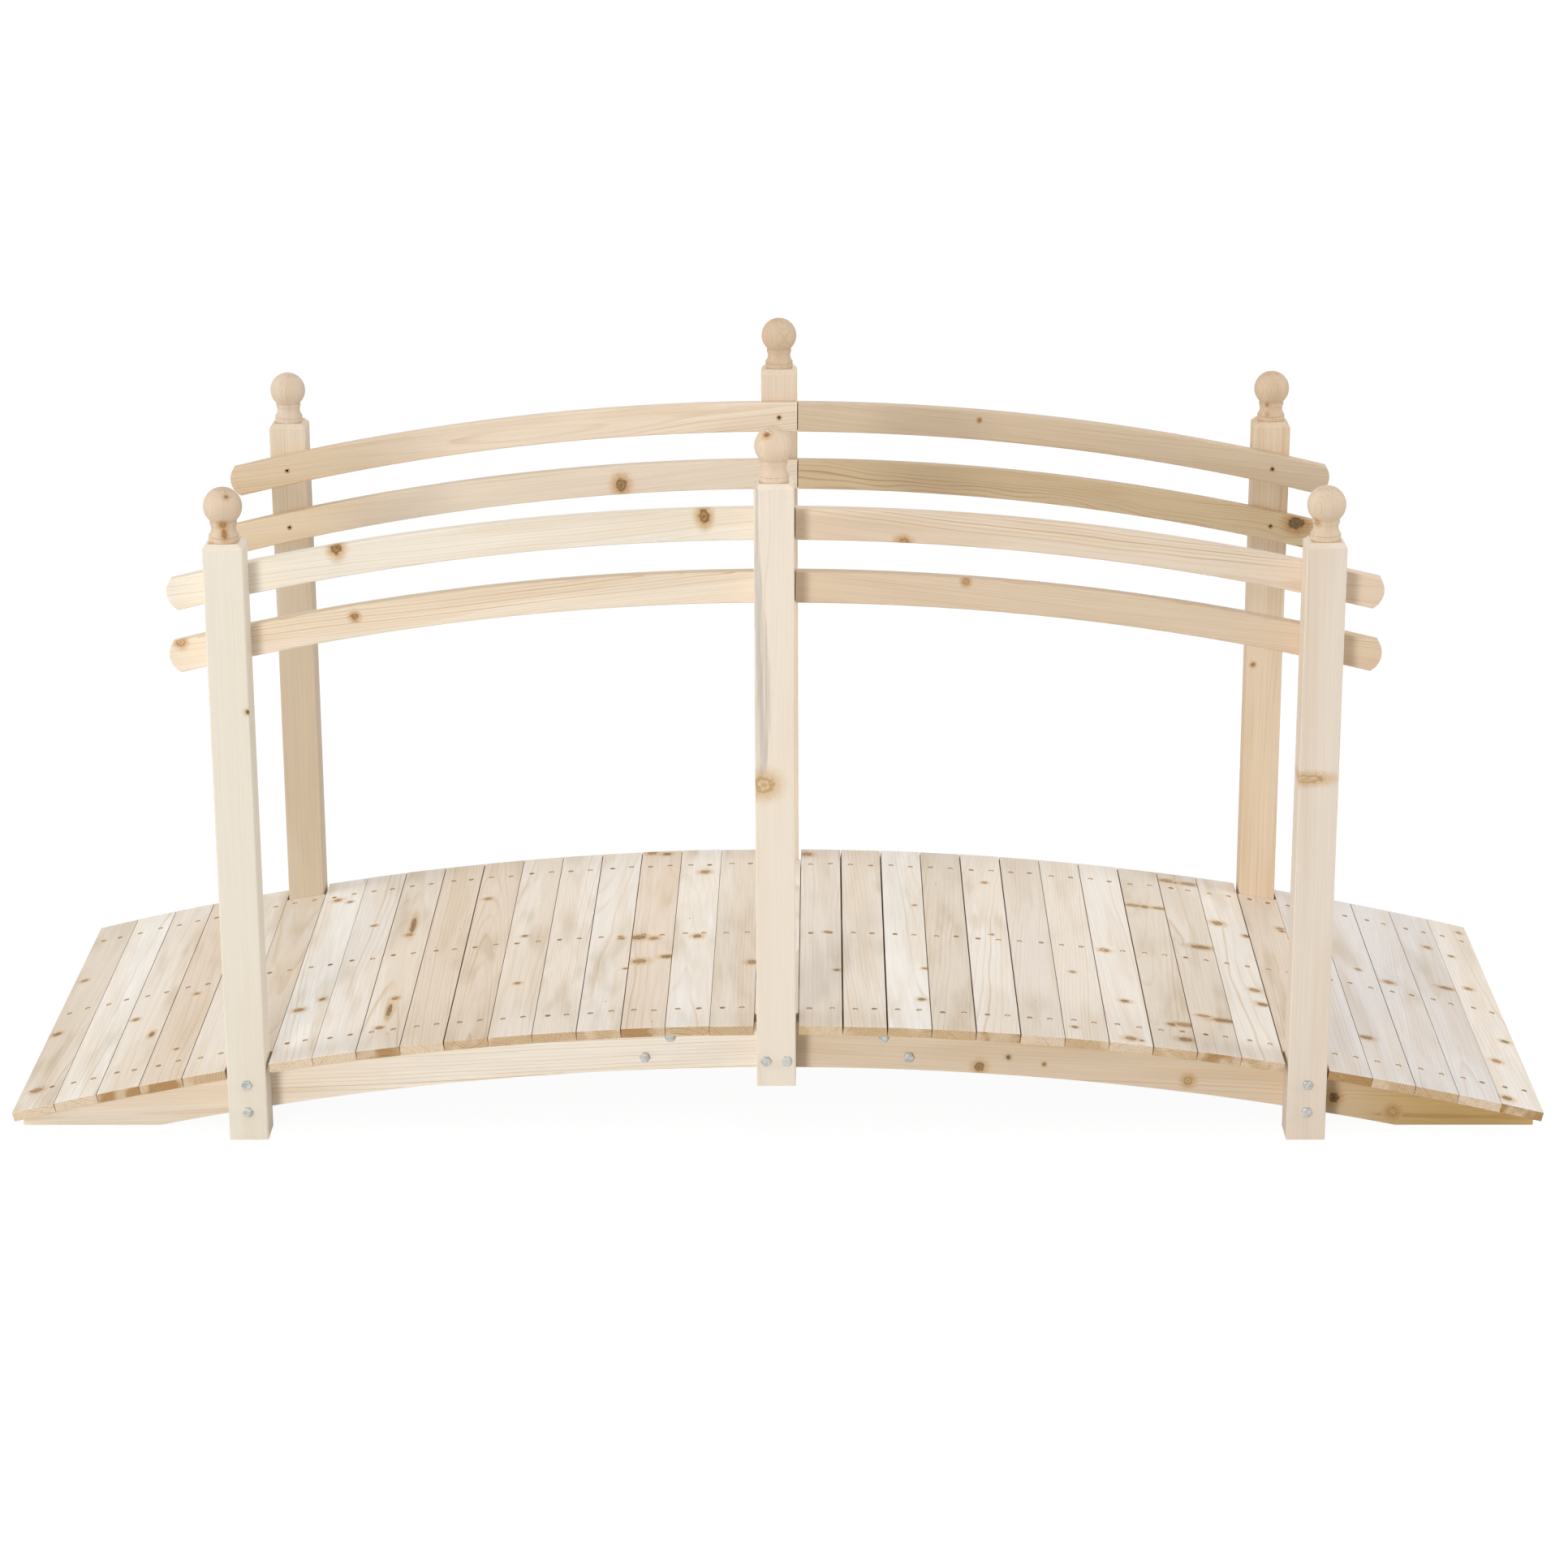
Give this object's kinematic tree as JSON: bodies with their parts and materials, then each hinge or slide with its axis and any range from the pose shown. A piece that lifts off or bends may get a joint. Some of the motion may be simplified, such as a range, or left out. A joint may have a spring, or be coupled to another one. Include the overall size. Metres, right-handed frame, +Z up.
{
  "type": "garden bridge",
  "caption": "Arched softwood garden footbridge: curved stringers, flat deck boards, square posts with ball finials and double curved side rails.",
  "frame": {"origin": "on the ground, midway between the two ends and between the two sides", "axes": "+X along the bridge, +Y across it, +Z up"},
  "size_m": [2.2194, 0.8066, 1.0515],
  "materials": {
    "board_wood": "planed, unfinished",
    "stringer_wood": "sawn and sanded, unfinished",
    "rail_wood": "sanded, unfinished",
    "post_wood": "planed, unfinished",
    "turned_wood": "turned and sanded, unfinished",
    "zinc": "bright zinc plated"
  },
  "bodies": {
    "root": {"post_front_left": "post_wood", "post_front_mid": "post_wood", "post_front_right": "post_wood", "post_back_left": "post_wood", "post_back_mid": "post_wood", "post_back_right": "post_wood", "finial_front_left": "turned_wood", "finial_front_mid": "turned_wood", "finial_front_right": "turned_wood", "finial_back_left": "turned_wood", "finial_back_mid": "turned_wood", "finial_back_right": "turned_wood", "rail_upper_front_left": "rail_wood", "rail_upper_front_right": "rail_wood", "rail_lower_front_left": "rail_wood", "rail_lower_front_right": "rail_wood", "rail_upper_back_left": "rail_wood", "rail_upper_back_right": "rail_wood", "rail_lower_back_left": "rail_wood", "rail_lower_back_right": "rail_wood", "stringer_front_left": "stringer_wood", "stringer_front_right": "stringer_wood", "stringer_mid_left": "stringer_wood", "stringer_mid_right": "stringer_wood", "stringer_back_left": "stringer_wood", "stringer_back_right": "stringer_wood", "splice_front": "stringer_wood", "splice_mid": "stringer_wood", "splice_back": "stringer_wood", "boards_end_left": "board_wood", "board_post_left": "board_wood", "boards_span_left": "board_wood", "board_crown": "board_wood", "boards_span_right": "board_wood", "board_post_right": "board_wood", "boards_end_right": "board_wood", "bolts_posts_front": "zinc", "bolts_posts_back": "zinc", "bolts_splice_front": "zinc", "bolts_splice_mid": "zinc", "bolts_splice_back": "zinc"}
  },
  "joints": []
}
